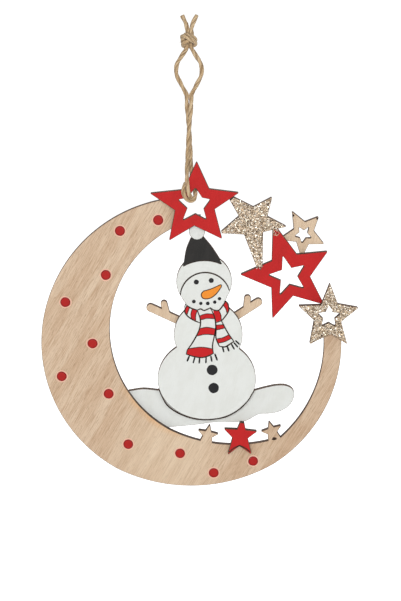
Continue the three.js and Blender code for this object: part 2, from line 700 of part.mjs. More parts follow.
addPiece("crescent_moon", crescentMoon(), "wood");
addPiece("snowman_figure", snowmanFigure(), "whitePaint");
addPiece("left_twig_arm", twigArm(LEFT_ARM_ANGLE, LEFT_ARM_REACH, LEFT_TWIG_ANGLE, LEFT_TWIG_REACH), "wood");
addPiece("right_twig_arm", twigArm(RIGHT_ARM_ANGLE, RIGHT_ARM_REACH, RIGHT_TWIG_ANGLE, RIGHT_TWIG_REACH), "wood");
addPiece("snow_drift", snowDrift(), "whitePaint");
addPiece("top_red_star", topRedStar(), "redPaint");
addPiece("large_glitter_star", largeGlitterStar(), "glitter");
addPiece("large_red_star", largeRedStar(), "redPaint");
addPiece("natural_star", naturalStarPiece(), "wood");
addPiece("small_glitter_star", smallGlitterStar(), "glitter");
addPiece("small_red_star", smallRedStar(), "redPaint");
addPiece("twine_round_turn", roundTurn(), "jute");
addPiece("twine_leg_front", leg(1), "jute");
addPiece("twine_leg_rear", leg(-1), "jute");
addPiece("twine_eye_left", eyeSide(-1), "jute");
addPiece("twine_eye_right", eyeSide(1), "jute");
addPiece("twine_knot", knot(), "jute");

export default ornament;
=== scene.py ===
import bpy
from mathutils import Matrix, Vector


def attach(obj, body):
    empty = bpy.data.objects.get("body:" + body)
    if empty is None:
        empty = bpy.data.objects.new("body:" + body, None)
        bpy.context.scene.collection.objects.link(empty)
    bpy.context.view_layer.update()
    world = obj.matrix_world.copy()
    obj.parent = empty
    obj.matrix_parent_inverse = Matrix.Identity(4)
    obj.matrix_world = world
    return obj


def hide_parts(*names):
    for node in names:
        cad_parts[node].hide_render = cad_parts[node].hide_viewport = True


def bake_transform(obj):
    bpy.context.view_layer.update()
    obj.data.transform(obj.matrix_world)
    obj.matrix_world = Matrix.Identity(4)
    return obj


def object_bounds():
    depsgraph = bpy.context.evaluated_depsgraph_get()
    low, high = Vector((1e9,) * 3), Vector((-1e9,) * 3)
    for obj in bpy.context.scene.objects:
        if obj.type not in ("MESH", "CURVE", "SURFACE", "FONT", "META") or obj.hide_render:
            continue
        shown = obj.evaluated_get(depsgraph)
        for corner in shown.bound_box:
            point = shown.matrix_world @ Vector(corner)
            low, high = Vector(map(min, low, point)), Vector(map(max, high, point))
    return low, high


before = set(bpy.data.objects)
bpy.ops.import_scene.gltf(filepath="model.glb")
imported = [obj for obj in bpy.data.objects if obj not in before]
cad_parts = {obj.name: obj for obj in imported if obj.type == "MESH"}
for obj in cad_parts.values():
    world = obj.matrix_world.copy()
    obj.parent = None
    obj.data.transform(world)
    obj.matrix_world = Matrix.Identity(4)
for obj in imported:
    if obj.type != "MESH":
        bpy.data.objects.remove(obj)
cad_bounds = [list(corner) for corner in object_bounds()]

import math
import random

import bmesh
import bpy
from mathutils import Matrix, Vector, noise

# A laser-cut plywood christmas ornament: crescent moon, snowman on a snow drift, stars, jute twine.
# Flat work is drawn in millimetres from the middle of the crescent's outer circle, x to the right and z up.
# The frame's own origin is where a hook bears in the twine's eye, and at() goes from one to the other.
MM = 0.001
TWINE_X = -0.638
HOOK_Z = 92.38
FRONT_SHEET = -3.0  # y of each sheet's front face
MIDDLE_SHEET = -1.0
BACK_SHEET = 1.0


def at(x, z, y=0.0):
    return Vector(((x - TWINE_X) * MM, y * MM, (z - HOOK_Z) * MM))


def polar(r, angle, centre=(0.0, 0.0)):
    turn = math.radians(angle)
    return centre[0] + r * math.cos(turn), centre[1] + r * math.sin(turn)


# Camera: the photograph is taken from a little above, with a long lens.
ELEVATION = math.radians(13)
VIEW_DISTANCE = 520 * MM
PIXEL_AT_AIM = 0.3165 * MM
PHOTO_WIDTH = 401
SENSOR_WIDTH = 36
AIM = at(2.9, 14.2)


def place_camera():
    data = bpy.data.cameras.new("photo_camera")
    data.sensor_fit = "HORIZONTAL"
    data.sensor_width = SENSOR_WIDTH
    data.lens = SENSOR_WIDTH * VIEW_DISTANCE / (PHOTO_WIDTH * PIXEL_AT_AIM)
    data.clip_start = 0.01
    data.clip_end = 50
    camera = bpy.data.objects.new("photo_camera", data)
    back = Vector((0, -math.cos(ELEVATION), math.sin(ELEVATION)))
    camera.location = AIM + back * VIEW_DISTANCE
    camera.rotation_euler = (math.pi / 2 - ELEVATION, 0, 0)
    bpy.context.scene.collection.objects.link(camera)
    bpy.context.scene.camera = camera


place_camera()


# Materials


def srgb(red, green, blue):
    def linear(value):
        value /= 255
        return value / 12.92 if value <= 0.04045 else ((value + 0.055) / 1.055) ** 2.4

    return linear(red), linear(green), linear(blue), 1.0


class Finish:
    """One material and the small set of nodes that its pattern is made of."""

    def __init__(self, name, colour, roughness, metallic=0.0):
        self.material = bpy.data.materials.new(name)
        self.material.use_nodes = True
        self.tree = self.material.node_tree
        self.shader = self.tree.nodes["Principled BSDF"]
        self.shader.inputs["Base Color"].default_value = colour
        self.shader.inputs["Roughness"].default_value = roughness
        self.shader.inputs["Metallic"].default_value = metallic

    def node(self, kind, links=None, **settings):
        made = self.tree.nodes.new(kind)
        for name, value in settings.items():
            setattr(made, name, value)
        for socket, source in (links or {}).items():
            if isinstance(source, bpy.types.NodeSocket):
                self.tree.links.new(source, made.inputs[socket])
            else:
                made.inputs[socket].default_value = source
        return made

    def place(self, along_angle=0.0, feature=(1.0, 1.0, 1.0), centre=(0.0, 0.0, 0.0)):
        """Object coordinates with x turned along the grain, scaled so that a feature is one unit."""
        where = self.node("ShaderNodeTexCoord").outputs["Object"]
        links = {
            "Vector": where,
            "Location": centre,
            "Rotation": (0, -math.radians(along_angle), 0),
            "Scale": feature,
        }
        return self.node("ShaderNodeMapping", links, vector_type="TEXTURE").outputs["Vector"]

    def on_surface(self, feature):
        """The piece's own UV map, along and across, scaled so that a feature is one unit."""
        where = self.node("ShaderNodeTexCoord").outputs["UV"]
        links = {"Vector": where, "Scale": (feature[0], feature[1], 1)}
        return self.node("ShaderNodeMapping", links, vector_type="TEXTURE").outputs["Vector"]

    def speckle(self, where, detail=2.0, roughness=0.5, distortion=0.0):
        links = {
            "Vector": where,
            "Scale": 1.0,
            "Detail": detail,
            "Roughness": roughness,
            "Distortion": distortion,
        }
        return self.node("ShaderNodeTexNoise", links).outputs["Fac"]

    def level(self, value, low, high, to_low=0.0, to_high=1.0):
        links = {"Value": value, "From Min": low, "From Max": high, "To Min": to_low, "To Max": to_high}
        return self.node("ShaderNodeMapRange", links, interpolation_type="SMOOTHSTEP").outputs["Result"]

    def times(self, a, b):
        return self.node("ShaderNodeMath", {0: a, 1: b}, operation="MULTIPLY").outputs[0]

    def blend(self, share, first, second):
        """From the first colour to the second: a Mix node's sockets 6 and 7, and its output 2."""
        return self.node("ShaderNodeMix", {0: share, 6: first, 7: second}, data_type="RGBA").outputs[2]

    def colour(self, source):
        self.tree.links.new(source, self.shader.inputs["Base Color"])

    def relief(self, height, depth):
        links = {"Height": height, "Distance": depth, "Strength": 1.0}
        bump = self.node("ShaderNodeBump", links)
        self.tree.links.new(bump.outputs["Normal"], self.shader.inputs["Normal"])

    def gloss(self, level):
        self.shader.inputs["Specular IOR Level"].default_value = level


WOOD = srgb(205, 176, 147)
WOOD_LIGHT = srgb(220, 196, 169)
WOOD_STRAW = srgb(232, 211, 182)
WOOD_STREAK = srgb(174, 140, 109)
WOOD_PORE = srgb(142, 108, 80)
CHAR = srgb(52, 39, 32)
TOASTED = srgb(104, 76, 56)
RED = srgb(192, 34, 34)
RED_DEEP = srgb(176, 32, 32)
SNOW = srgb(227, 229, 225)
SNOW_THIN = srgb(218, 219, 213)
CHARCOAL = srgb(42, 41, 40)
PRINT_BROWN = srgb(46, 35, 29)
CARROT = srgb(240, 146, 52)
JUTE = srgb(188, 159, 120)
JUTE_LIGHT = srgb(222, 198, 162)
JUTE_DARK_FIBRE_AND_SHADE = srgb(116, 88, 60)
JUTE_TAN = srgb(176, 142, 102)
LASER_BLOOM = srgb(226, 172, 112)
GLITTER_GLUE = srgb(168, 142, 116)
GLITTER_SHADOW = srgb(92, 72, 56)
GLITTER_PALE = srgb(206, 184, 158)

# The wood's features in metres: along the grain, through the sheet and across the grain
BROAD_BAND = (0.030, 0.006, 0.0032)
NARROW_BAND = (0.018, 0.003, 0.0011)
STREAK = (0.0075, 0.002, 0.00021)
PORE = (0.0016, 0.0006, 0.00018)
SEED_SHIFT = (0.013, 0.007, 0.017)
FINE_RELIEF = 0.00003

# Tones of the crescent's face, in millimetres of the flat drawing
HOLLOW = (11.55, 4.40)
HOLLOW_R = 37.48
BLOOM_BAND = (HOLLOW_R - 0.2, HOLLOW_R + 2.6)  # from the hollow's middle, fading outwards
BLOOM_TOP = (-13.0, -17.5)  # heights and widths between which the bloom comes in
BLOOM_FOOT = (-34.0, -29.0)
BLOOM_RIGHT = (0.0, -7.0)
PALE_PATCH = (-9.0, -37.0)  # the sheet is lighter here, at the crescent's foot
PALE_REACH = (4, 24)
PALE_SHARE = 0.33
HORN_REACH = (8, 36)  # the sheet darkens to the right, towards the horn
HORN_SHARE = 0.17


def bare_wood(name, grain_angle, seed, tones=None, pale=0.0):
    """Sanded plywood: broad bands, long fine streaks and short pores along the grain."""
    wood = Finish(name, WOOD, 0.72)
    shift = tuple(step * seed for step in SEED_SHIFT)
    broad = wood.speckle(wood.place(grain_angle, BROAD_BAND, shift), 3, 0.55, 0.35)
    band = wood.speckle(wood.place(grain_angle, NARROW_BAND, shift), 2, 0.5, 0.2)
    streak = wood.speckle(wood.place(grain_angle, STREAK, shift), 2, 0.6, 0.1)
    pore = wood.speckle(wood.place(grain_angle, PORE, shift), 1, 0.5)
    colour = wood.blend(wood.level(broad, 0.35, 0.68), WOOD_LIGHT, WOOD)
    colour = wood.blend(wood.level(band, 0.46, 0.74, 0, 0.25), colour, WOOD_STREAK)
    colour = wood.blend(wood.level(streak, 0.47, 0.66, 0, 0.62), colour, WOOD_STREAK)
    colour = wood.blend(wood.level(streak, 0.34, 0.46, 0.5, 0), colour, WOOD_LIGHT)
    colour = wood.blend(wood.level(pore, 0.58, 0.74, 0, 0.45), colour, WOOD_PORE)
    if pale:
        colour = wood.blend(pale, colour, WOOD_STRAW)
    if tones:
        colour = tones(wood, colour)
    wood.colour(colour)
    wood.relief(pore, FINE_RELIEF)
    wood.gloss(0.25)
    return wood.material


def crescent_tones(wood, colour):
    """The crescent's paler foot, its darker horn, and the laser's warm bloom beside the drift."""
    where = wood.node("ShaderNodeTexCoord").outputs["Object"]
    parts = wood.node("ShaderNodeSeparateXYZ", {0: where})
    x, z = parts.outputs[0], parts.outputs[2]
    flat = wood.node("ShaderNodeCombineXYZ", {0: x, 2: z}).outputs[0]

    def away_from(point):
        middle = at(*point)
        links = {0: flat, 1: (middle.x, 0, middle.z)}
        return wood.node("ShaderNodeVectorMath", links, operation="DISTANCE").outputs["Value"]

    foot = wood.level(away_from(PALE_PATCH), PALE_REACH[0] * MM, PALE_REACH[1] * MM, PALE_SHARE, 0)
    colour = wood.blend(foot, colour, WOOD_STRAW)
    horn = wood.level(x, at(HORN_REACH[0], 0).x, at(HORN_REACH[1], 0).x, 0, HORN_SHARE)
    colour = wood.blend(horn, colour, WOOD_STREAK)

    near = wood.level(away_from(HOLLOW), BLOOM_BAND[0] * MM, BLOOM_BAND[1] * MM, 0.6, 0)
    low = wood.level(z, at(0, BLOOM_TOP[0]).z, at(0, BLOOM_TOP[1]).z)
    high = wood.level(z, at(0, BLOOM_FOOT[0]).z, at(0, BLOOM_FOOT[1]).z)
    left = wood.level(x, at(BLOOM_RIGHT[0], 0).x, at(BLOOM_RIGHT[1], 0).x)
    share = wood.times(wood.times(near, low), wood.times(high, left))
    uneven = wood.level(wood.speckle(wood.place(0, (0.004, 0.004, 0.004)), 2), 0.3, 0.7, 0.45, 1.0)
    return wood.blend(wood.times(share, uneven), colour, LASER_BLOOM)


def cut_edge():
    """The sawn wall of the sheet: three plies, toasted and sooty from the laser."""
    edge = Finish("laser_cut_edge", TOASTED, 0.85)
    soot = edge.speckle(edge.place(0, (0.0016, 0.0007, 0.0016)), 3, 0.6)
    plies = edge.node(
        "ShaderNodeTexWave",
        {"Vector": edge.place(0, (0.0042, 0.0042, 0.0042)), "Scale": 1.0},
        wave_type="BANDS",
        bands_direction="Y",
        wave_profile="SIN",
    ).outputs["Fac"]
    colour = edge.blend(edge.level(plies, 0.25, 0.75, 0, 0.5), TOASTED, CHAR)
    colour = edge.blend(edge.level(soot, 0.38, 0.66), colour, CHAR)
    edge.colour(colour)
    edge.relief(soot, 0.00004)
    return edge.material


def flat_paint(name, body, thin, roughness, grain=0.5):
    """Brushed-thin paint, with the wood's grain showing a little through it."""
    paint = Finish(name, body, roughness)
    mottle = paint.speckle(paint.place(70, (0.006, 0.004, 0.003)), 3, 0.6)
    grain_lines = paint.speckle(paint.place(78, (0.004, 0.001, 0.0004)), 2, 0.5)
    colour = paint.blend(paint.level(mottle, 0.35, 0.7, 0, 0.5), body, thin)
    colour = paint.blend(paint.level(grain_lines, 0.55, 0.75, 0, grain), colour, thin)
    paint.colour(colour)
    paint.relief(grain_lines, FINE_RELIEF)
    paint.gloss(0.14)
    return paint.material


def glitter_ground():
    ground = Finish("glitter_ground", GLITTER_GLUE, 0.45, 0.35)
    grit = ground.speckle(ground.place(0, (0.00042, 0.00042, 0.00042)), 2, 0.6)
    colour = ground.blend(ground.level(grit, 0.36, 0.62), GLITTER_SHADOW, GLITTER_PALE)
    ground.colour(colour)
    ground.relief(grit, 0.00016)
    return ground.material


def glitter_flake(name, colour, roughness):
    flake = Finish(name, colour, roughness, 0.85)
    tone = flake.speckle(flake.place(0, (0.0006, 0.0006, 0.0006)), 1)
    dark = tuple(value * 0.72 for value in colour[:3]) + (1.0,)
    flake.colour(flake.blend(flake.level(tone, 0.35, 0.65), dark, colour))
    return flake.material


def jute_yarn():
    """Two-ply jute: fine pale fibres along each ply, and painted shade darkening the furrows between them."""
    jute = Finish("jute_yarn", JUTE, 0.88)
    fibre = jute.speckle(jute.on_surface((0.0045, 0.00030)), 3, 0.6, 0.15)
    tone = jute.speckle(jute.place(90, (0.006, 0.0012, 0.0012)), 2)
    depth = jute.node("ShaderNodeAttribute", attribute_name="furrow_shade").outputs["Fac"]
    colour = jute.blend(jute.level(fibre, 0.38, 0.58), JUTE_LIGHT, JUTE)
    colour = jute.blend(jute.level(fibre, 0.54, 0.68, 0, 0.85), colour, JUTE_DARK_FIBRE_AND_SHADE)
    colour = jute.blend(jute.level(tone, 0.42, 0.72, 0, 0.4), colour, JUTE_TAN)
    # Painted shade: the deeper in the furrow between the plies, the darker the jute.
    colour = jute.blend(jute.level(depth, 0.35, 1.0, 0, 0.7), colour, JUTE_DARK_FIBRE_AND_SHADE)
    jute.colour(colour)
    jute.relief(fibre, 0.00012)
    jute.gloss(0.2)
    jute.shader.inputs["Sheen Weight"].default_value = 0.25
    return jute.material


CUT_EDGE = cut_edge()
CRESCENT_WOOD = bare_wood("crescent_wood", 60, 1, tones=crescent_tones)
ARM_WOOD = bare_wood("twig_arm_wood", 75, 4, pale=0.3)
STAR_WOOD = bare_wood("natural_star_wood", 80, 7, pale=0.35)
BACK_WOOD = bare_wood("bare_back_wood", 84, 9)
RED_PAINT = flat_paint("red_paint", RED, RED_DEEP, 0.55)
SCARF_RED = flat_paint("scarf_red_print", srgb(200, 30, 34), srgb(184, 30, 33), 0.6)
DOT_RED = flat_paint("dot_red_paint", srgb(173, 31, 28), srgb(162, 29, 27), 0.4)
DOT_RIM = flat_paint("dot_rim_paint", srgb(138, 26, 28), srgb(128, 26, 28), 0.4)
DOT_STAIN = flat_paint("dot_stain", srgb(234, 186, 162), srgb(230, 192, 166), 0.7)
WHITE_PAINT = flat_paint("snow_white_paint", SNOW, SNOW_THIN, 0.62, 0.45)
HAT_PRINT = flat_paint("hat_charcoal_print", CHARCOAL, srgb(54, 52, 50), 0.7)
COAL_PRINT = flat_paint("coal_print", srgb(34, 34, 36), srgb(50, 49, 50), 0.7)
LINE_PRINT = flat_paint("brown_line_print", PRINT_BROWN, srgb(66, 53, 44), 0.7)
CARROT_PRINT = flat_paint("carrot_print", CARROT, srgb(236, 138, 46), 0.6)
SCORCH_MARK = flat_paint("scorch_mark", CHAR, srgb(86, 62, 46), 0.85)
GLITTER_GROUND = glitter_ground()
GLITTER_FLAKES = [
    glitter_flake("flake_silver", srgb(230, 224, 212), 0.25),
    glitter_flake("flake_champagne", srgb(182, 167, 143), 0.3),
    glitter_flake("flake_gold", srgb(152, 131, 105), 0.35),
    glitter_flake("flake_bronze", srgb(104, 86, 66), 0.4),
    glitter_flake("flake_shade", srgb(60, 49, 40), 0.5),
]
JUTE_YARN = jute_yarn()


# Helpers that finish a mesh and give it to its body


def make_piece(name, bm, materials, body, smooth=False):
    mesh = bpy.data.meshes.new(name)
    bm.to_mesh(mesh)
    bm.free()
    for polygon in mesh.polygons:
        polygon.use_smooth = smooth
    for material in materials:
        mesh.materials.append(material)
    piece = bpy.data.objects.new(name, mesh)
    bpy.context.scene.collection.objects.link(piece)
    if body:
        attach(piece, body)
    return piece


def catmull(points, per_segment):
    """Points close together on the smooth curve through these ones."""
    points = [Vector(p) for p in points]
    ends = [2 * points[0] - points[1]] + points + [2 * points[-1] - points[-2]]
    fine = []
    for a, b, c, d in zip(ends, ends[1:], ends[2:], ends[3:]):
        t0 = 0.0
        t1 = t0 + max((b - a).length, 1e-9) ** 0.5
        t2 = t1 + max((c - b).length, 1e-9) ** 0.5
        t3 = t2 + max((d - c).length, 1e-9) ** 0.5
        for i in range(per_segment):
            t = t1 + (t2 - t1) * i / per_segment
            ab = a * (t1 - t) / (t1 - t0) + b * (t - t0) / (t1 - t0)
            bc = b * (t2 - t) / (t2 - t1) + c * (t - t1) / (t2 - t1)
            cd = c * (t3 - t) / (t3 - t2) + d * (t - t2) / (t3 - t2)
            abc = ab * (t2 - t) / (t2 - t0) + bc * (t - t0) / (t2 - t0)
            bcd = bc * (t3 - t) / (t3 - t1) + cd * (t - t1) / (t3 - t1)
            fine.append(abc * (t2 - t) / (t2 - t1) + bcd * (t - t1) / (t2 - t1))
    return fine + [points[-1]]


def evenly(points, step):
    """The same line with its points one step apart."""
    reach = [0.0]
    for a, b in zip(points, points[1:]):
        reach.append(reach[-1] + (b - a).length)
    count = max(1, round(reach[-1] / step))
    out, k = [], 0
    for i in range(count + 1):
        goal = reach[-1] * i / count
        while k < len(points) - 2 and reach[k + 1] < goal:
            k += 1
        span = max(reach[k + 1] - reach[k], 1e-12)
        out.append(points[k].lerp(points[k + 1], min(1.0, (goal - reach[k]) / span)))
    return out


def flat_curve(points, step=0.35):
    fine = catmull([(x, z, 0) for x, z in points], 10)
    return [(p.x, p.y) for p in evenly(fine, step)]


def arc_line(centre, r, start, end, step):
    count = max(2, math.ceil(abs(math.radians(end - start)) * r / step))
    return [polar(r, start + (end - start) * i / count, centre) for i in range(count + 1)]


SINK = 0.02  # how far a layer starts under the face that it lies on


def film(bm, outline, face_y, thickness):
    """A thin layer on a face: this outline, from just under the face to its own thickness in front of it."""
    face = bm.faces.new([bm.verts.new(at(x, z, face_y + SINK)) for x, z in outline])
    grown = bmesh.ops.extrude_face_region(bm, geom=[face])
    front = [g for g in grown["geom"] if isinstance(g, bmesh.types.BMVert)]
    bmesh.ops.translate(bm, verts=front, vec=(0, -(thickness + SINK) * MM, 0))


def ribbon_outline(points, width, seed=0.0, taper=1.0):
    """A drawn line's outline: a hand's slight swell along it, and round ends."""
    line = [Vector((x, z)) for x, z in flat_curve(points, 0.3)]
    left, right = [], []
    for i, p in enumerate(line):
        way = (line[min(i + 1, len(line) - 1)] - line[max(i - 1, 0)]).normalized()
        side = Vector((-way.y, way.x))
        swell = 1 + 0.16 * noise.noise(Vector((p.x * 0.35 + seed, p.y * 0.35, 0)))
        end = min(i, len(line) - 1 - i) / max(1, len(line) - 1)
        half = width / 2 * swell * (taper + (1 - taper) * min(1, end * 5))
        left.append(p + side * half)
        right.append(p - side * half)

    def cap(centre, start):
        radius = (start - centre).length
        first = math.degrees(math.atan2(start.y - centre.y, start.x - centre.x))
        return [Vector(polar(radius, first - a, centre)) for a in (45, 90, 135)]

    outline = left + cap(line[-1], left[-1]) + right[::-1] + cap(line[0], right[0])
    return [(p.x, p.y) for p in outline]


# Twine: one length of two-ply jute, drawn as two strands and a round turn at the top star

PAIR_SPACING = 1.4  # between the middles of two strands side by side
PLY_PITCH = 9.0  # one full turn of the two plies
TWINE_STEP = 0.2  # from one ring of the twine's mesh to the next
YARN_ROUND = 4.0  # once round the twine on its UV map
YARN_UNEVEN = 0.07
STAR = (1.342, 45.23)
SPIN_Z = STAR[1] + 14.1 + 0.95
SWING_Z = SPIN_Z + 18.1
KNOT_Z = SWING_Z + 15.2
TURN_BRIDGE = 125.7  # direction of the bridge between the star's notch and its hole
LEG_MIDDLE = (SPIN_Z + SWING_Z) / 2


def turn_at(along, across, y):
    x, z = polar(across, TURN_BRIDGE - 90, polar(along, TURN_BRIDGE, STAR))
    return Vector((x, y, z))


def upright(side, z):
    return Vector((TWINE_X + side * PAIR_SPACING / 2, 0, z))


def round_turn_points():
    """Down in front from one strand, twice through the hole, and up behind the arm to the other."""
    return [
        turn_at(11.80, 5.32, -1.1),
        turn_at(10.42, 4.25, -2.1),
        turn_at(8.75, 3.06, -3.2),
        turn_at(7.26, 2.07, -3.75),
        turn_at(5.62, 1.16, -3.8),
        turn_at(3.97, 0.50, -3.8),
        turn_at(2.65, 0.25, -3.3),
        turn_at(2.3, 0.15, -2.1),
        turn_at(2.7, 0.1, -0.8),
        turn_at(4.0, 0.15, -0.2),
        turn_at(6.0, 0.8, -0.2),
        turn_at(7.0, 1.25, -0.75),
        turn_at(7.2, 1.2, -1.9),
        turn_at(6.8, 0.6, -3.1),
        turn_at(5.7, -0.45, -3.8),
        turn_at(4.06, -1.07, -4.0),
        turn_at(2.90, -0.76, -4.35),
        turn_at(2.15, -0.05, -4.45),
        turn_at(2.0, 0.85, -4.2),
        turn_at(2.45, 1.65, -3.4),
        turn_at(3.2, 2.2, -2.1),
        turn_at(3.9, 2.6, -0.8),
        turn_at(5.2, 3.2, -0.15),
        turn_at(7.7, 4.1, 0.0),
        turn_at(10.4, 5.75, 0.25),
    ]


LEG_STEPS = 12
LEG_OVERRUN = 0.4  # the legs start this much under the spin's point
EYE_HALF = 4.0
EYE_SHAPE = ((0.62, 0.27), (0.96, 0.47), (0.92, 0.66), (0.55, 0.83))  # shares of half width and height


def leg_points(side):
    """The pair crosses once between the star and the eye. The side is where a strand arrives at the eye."""
    out = []
    for i in range(LEG_STEPS + 1):
        share = i / LEG_STEPS
        sweep = 180 if share > 0.5 else 90
        turn = math.radians(90 + (share - 0.5) * sweep)
        half = PAIR_SPACING / 2
        x = TWINE_X - side * half * math.cos(turn)
        y = -side * half * math.sin(turn)
        z = SPIN_Z - LEG_OVERRUN + (SWING_Z - SPIN_Z + LEG_OVERRUN) * share
        out.append(Vector((x, y, z)))
    return out


def eye_points(side):
    out = [upright(side, SWING_Z + 0.6)]
    for width, height in EYE_SHAPE:
        out.append(Vector((TWINE_X + side * EYE_HALF * width, 0, SWING_Z + (KNOT_Z - SWING_Z) * height)))
    return out


KNOT_SCALE = 0.82
KNOT_ROUTE = [
    (0, 0, 0), (-0.3, 0.6, 1.3), (-1.2, 0.95, 2.8), (-1.95, 0.0, 4.1), (-1.0, -1.55, 4.6), (1.0, -1.95, 3.6),
    (2.35, -0.6, 2.3), (1.6, 1.45, 1.4), (-0.6, 1.95, 1.0), (-2.25, 0.7, 1.4), (-1.9, -0.95, 2.2),
    (-0.5, -0.55, 3.3), (0.35, -0.1, 4.8), (0.2, 0, 6.2),
]


def knot_points(side):
    """The pair's overhand knot: this strand's line, beside the other one all the way."""
    middle = catmull([Vector(p) * KNOT_SCALE for p in KNOT_ROUTE], 6)
    beside = Vector((1, 0, 0))
    out = []
    for i, p in enumerate(middle):
        way = (middle[min(i + 1, len(middle) - 1)] - middle[max(i - 1, 0)]).normalized()
        beside = (beside - way * beside.dot(way)).normalized()
        q = p + beside * side * PAIR_SPACING / 2 * 0.92
        out.append(Vector((TWINE_X + q.x, q.y, KNOT_Z + q.z)))
    top = out[-1]
    splay = Vector((beside.x, beside.y, 0)) * side
    return out[::3] + [top + splay * 0.5 + Vector((0, 0, 2.0)), top + splay * 1.9 + Vector((0, 0, 4.6))]


def whole_twine():
    """The one line that the twine follows, from one cut end round the star to the other, in millimetres."""
    left = knot_points(-1)[::-1] + eye_points(-1)[::-1]
    down = leg_points(-1)[::-1]
    turn = round_turn_points()[::-1]
    up = leg_points(1)
    right = eye_points(1) + knot_points(1)
    return evenly(catmull(left + down + turn + up + right, 8), TWINE_STEP)


def place_mm(p):
    return at(p.x, p.z, p.y)


def carried_frames(line):
    """For each point the line's direction and a side vector that is carried along without twisting."""
    out, side = [], Vector((0, 1, 0))
    for i in range(len(line)):
        way = (line[min(i + 1, len(line) - 1)] - line[max(i - 1, 0)]).normalized()
        side = (side - way * side.dot(way)).normalized()
        out.append((way, side.copy()))
    return out


RING = 14
LOBE_OFFSET = 0.15  # middle of a ply from the twine's own middle
LOBE_R = 0.57


def lobed_radius(angle):
    """Distance to the surface of two round plies side by side, and how deep in the furrow that is, which sets
    the painted shade there.
    """
    across = abs(math.sin(angle)) * LOBE_OFFSET
    r = LOBE_OFFSET * abs(math.cos(angle)) + math.sqrt(max(LOBE_R**2 - across**2, 0))
    deepest = math.sqrt(LOBE_R**2 - LOBE_OFFSET**2)
    return r, 1 - (r - deepest) / (LOBE_OFFSET + LOBE_R - deepest)


def twine_piece(name, line, frames, first, last):
    """The stretch of the twine between two of its points, as one closed tube of two twisted plies."""
    bm = bmesh.new()
    uv = bm.loops.layers.uv.new("lay")
    # How deep each vertex lies in the furrow, for the yarn's painted shade
    furrow_shade = bm.verts.layers.float.new("furrow_shade")
    rings = []
    for i in range(first, last + 1):
        way, side = frames[i]
        other = way.cross(side)
        run = i * TWINE_STEP
        phase = 2 * math.pi * run / PLY_PITCH
        ring = []
        for k in range(RING):
            angle = 2 * math.pi * k / RING
            r, depth = lobed_radius(angle)
            r *= 1 + YARN_UNEVEN * noise.noise(Vector((run * 0.8, math.cos(angle) * 2, math.sin(angle) * 2)))
            spot = line[i] + (side * math.cos(angle + phase) + other * math.sin(angle + phase)) * r
            vert = bm.verts.new(place_mm(spot))
            vert[furrow_shade] = depth
            ring.append(vert)
        rings.append(ring)
    for j in range(len(rings) - 1):
        run = (first + j) * TWINE_STEP * MM
        on = run + TWINE_STEP * MM
        for k in range(RING):
            m = (k + 1) % RING
            face = bm.faces.new((rings[j][k], rings[j][m], rings[j + 1][m], rings[j + 1][k]))
            for loop, (u, v) in zip(face.loops, ((run, k), (run, k + 1), (on, k + 1), (on, k))):
                loop[uv].uv = (u, v * YARN_ROUND * MM / RING)
    bm.faces.new(rings[0][::-1])
    bm.faces.new(rings[-1])
    bmesh.ops.recalc_face_normals(bm, faces=bm.faces)
    return make_piece(name, bm, [JUTE_YARN], None, smooth=True)


HAIR_COUNT = 46
HAIR_R = 0.035
HAIR_ROOT = 0.42  # from the twine's middle
HAIR_SHARES = (0, 0.35, 0.7, 1.0)
END_MARGIN = 6  # no hair on the last few rings


def twine_hairs(name, line, frames, first, last, seed):
    """Stray jute fibres that leave the twine at a low angle."""
    draw = random.Random(seed)
    bm = bmesh.new()
    for _ in range(HAIR_COUNT):
        i = draw.randrange(first + END_MARGIN, last - END_MARGIN)
        way, side = frames[i]
        angle = draw.uniform(0, 2 * math.pi)
        out = side * math.cos(angle) + way.cross(side) * math.sin(angle)
        back = draw.choice((-1, 1))
        reach, lift = draw.uniform(0.8, 2.2), draw.uniform(0.25, 0.8)
        bend = way.cross(out) * draw.uniform(-0.4, 0.4)
        spots = [
            line[i] + out * (HAIR_ROOT + lift * s * s) + way * back * reach * s + bend * s * s
            for s in HAIR_SHARES
        ]
        rings = []
        for n, spot in enumerate(spots):
            r = HAIR_R * (1 - 0.2 * n)
            rings.append([
                bm.verts.new(place_mm(spot + (out * math.cos(a) + way.cross(out) * math.sin(a)) * r))
                for a in (0, 2.1, 4.2)
            ])
        for low, high in zip(rings, rings[1:]):
            for k in range(3):
                bm.faces.new((low[k], low[(k + 1) % 3], high[(k + 1) % 3], high[k]))
        bm.faces.new(rings[0][::-1])
        bm.faces.new(rings[-1])
    bmesh.ops.recalc_face_normals(bm, faces=bm.faces)
    return make_piece(name, bm, [JUTE_YARN], None, smooth=True)


def row_point(z):
    return (0, 0, (z - HOOK_Z) * MM)


SWING_BLEND = 2.6  # the bend at the swing reaches this far up and down
SPIN_FOOT = 1.4  # the twist at the spin starts this far under it
SPIN_TOP = 0.6  # and ends this far under the legs' middle


